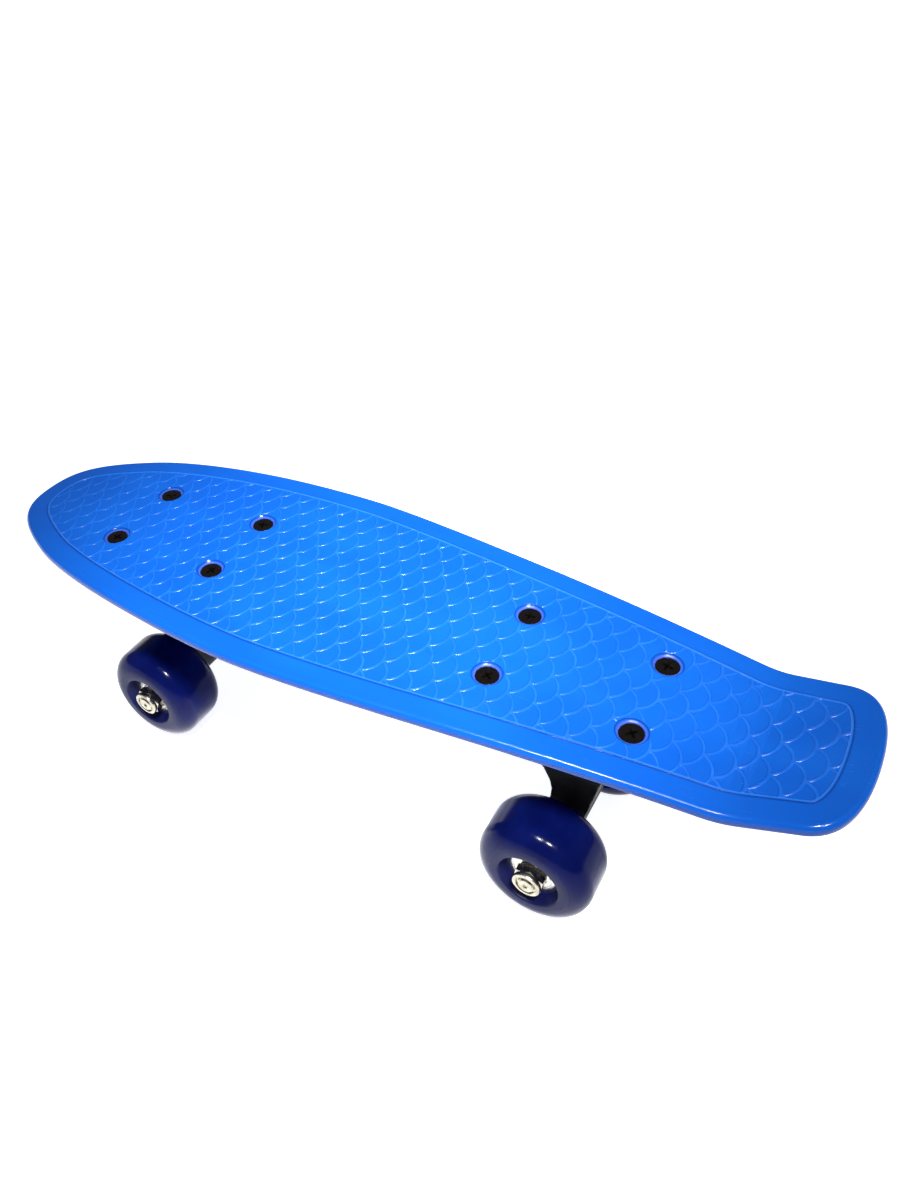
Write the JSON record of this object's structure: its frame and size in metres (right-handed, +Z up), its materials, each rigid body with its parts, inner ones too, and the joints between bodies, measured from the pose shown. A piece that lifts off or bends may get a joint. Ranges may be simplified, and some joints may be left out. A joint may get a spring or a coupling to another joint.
{
  "type": "small cruiser skateboard",
  "caption": "Small moulded cruiser skateboard with a scale-patterned deck, kicked tail, sprung steering trucks and free-rolling bearing wheels.",
  "frame": {"origin": "on the ground under the middle of the board's length and width", "axes": "+X along the board towards the kicked tail, +Y to the right of a rider facing the nose, +Z up"},
  "size_m": [0.4394, 0.129, 0.1173],
  "materials": {
    "deck_plastic": "moulded gloss",
    "black_steel": "black oxide",
    "wheel_urethane": "cast gloss",
    "truck_plastic": "moulded satin",
    "bushing_rubber": "matt",
    "cup_rubber": "matt",
    "plated_nuts": "nickel plated",
    "zinc_steel": "zinc plated",
    "bearing_steel": "ground"
  },
  "bodies": {
    "board": {"deck": "deck_plastic", "deck_screws": "black_steel", "deck_nuts": "plated_nuts", "front_baseplate": "truck_plastic", "front_pivot_cup": "cup_rubber", "front_kingpin": "zinc_steel", "front_kingpin_nut": "plated_nuts", "front_cup_washers": "zinc_steel", "front_upper_bushing": "bushing_rubber", "front_lower_bushing": "bushing_rubber", "rear_baseplate": "truck_plastic", "rear_pivot_cup": "cup_rubber", "rear_kingpin": "zinc_steel", "rear_kingpin_nut": "plated_nuts", "rear_cup_washers": "zinc_steel", "rear_upper_bushing": "bushing_rubber", "rear_lower_bushing": "bushing_rubber"},
    "front_truck": {"front_hanger": "truck_plastic", "front_axle": "zinc_steel", "front_axle_nuts": "plated_nuts", "front_axle_washers": "zinc_steel", "front_left_inner_rings": "bearing_steel", "front_left_spacer": "bearing_steel", "front_right_inner_rings": "bearing_steel", "front_right_spacer": "bearing_steel"},
    "front_left_wheel_set": {"front_left_wheel": "wheel_urethane", "front_left_outer_rings": "bearing_steel", "front_left_balls": "bearing_steel", "front_left_shields": "bearing_steel"},
    "front_right_wheel_set": {"front_right_wheel": "wheel_urethane", "front_right_outer_rings": "bearing_steel", "front_right_balls": "bearing_steel", "front_right_shields": "bearing_steel"},
    "rear_truck": {"rear_hanger": "truck_plastic", "rear_axle": "zinc_steel", "rear_axle_nuts": "plated_nuts", "rear_axle_washers": "zinc_steel", "rear_left_inner_rings": "bearing_steel", "rear_left_spacer": "bearing_steel", "rear_right_inner_rings": "bearing_steel", "rear_right_spacer": "bearing_steel"},
    "rear_left_wheel_set": {"rear_left_wheel": "wheel_urethane", "rear_left_outer_rings": "bearing_steel", "rear_left_balls": "bearing_steel", "rear_left_shields": "bearing_steel"},
    "rear_right_wheel_set": {"rear_right_wheel": "wheel_urethane", "rear_right_outer_rings": "bearing_steel", "rear_right_balls": "bearing_steel", "rear_right_shields": "bearing_steel"}
  },
  "joints": [
    {"name": "front_steer", "type": "hinge", "parent": "board", "child": "front_truck", "pos_m": [-0.13985, 0, 0.0824], "axis": [-0.8666, 0, 0.499], "range_deg": [-10, 10], "stiffness_Nm_per_rad": 12, "deforming": ["front_upper_bushing", "front_lower_bushing"]},
    {"name": "front_left_spin", "type": "hinge", "parent": "front_truck", "child": "front_left_wheel_set", "pos_m": [-0.11635, -0.0373, 0.027], "axis": [0, 1, 0], "continuous": true},
    {"name": "front_right_spin", "type": "hinge", "parent": "front_truck", "child": "front_right_wheel_set", "pos_m": [-0.11635, 0.0373, 0.027], "axis": [0, 1, 0], "continuous": true},
    {"name": "rear_steer", "type": "hinge", "parent": "board", "child": "rear_truck", "pos_m": [0.12865, 0, 0.0824], "axis": [0.8666, 0, 0.499], "range_deg": [-10, 10], "stiffness_Nm_per_rad": 12, "deforming": ["rear_upper_bushing", "rear_lower_bushing"]},
    {"name": "rear_left_spin", "type": "hinge", "parent": "rear_truck", "child": "rear_left_wheel_set", "pos_m": [0.10515, -0.0373, 0.027], "axis": [0, 1, 0], "continuous": true},
    {"name": "rear_right_spin", "type": "hinge", "parent": "rear_truck", "child": "rear_right_wheel_set", "pos_m": [0.10515, 0.0373, 0.027], "axis": [0, 1, 0], "continuous": true}
  ]
}
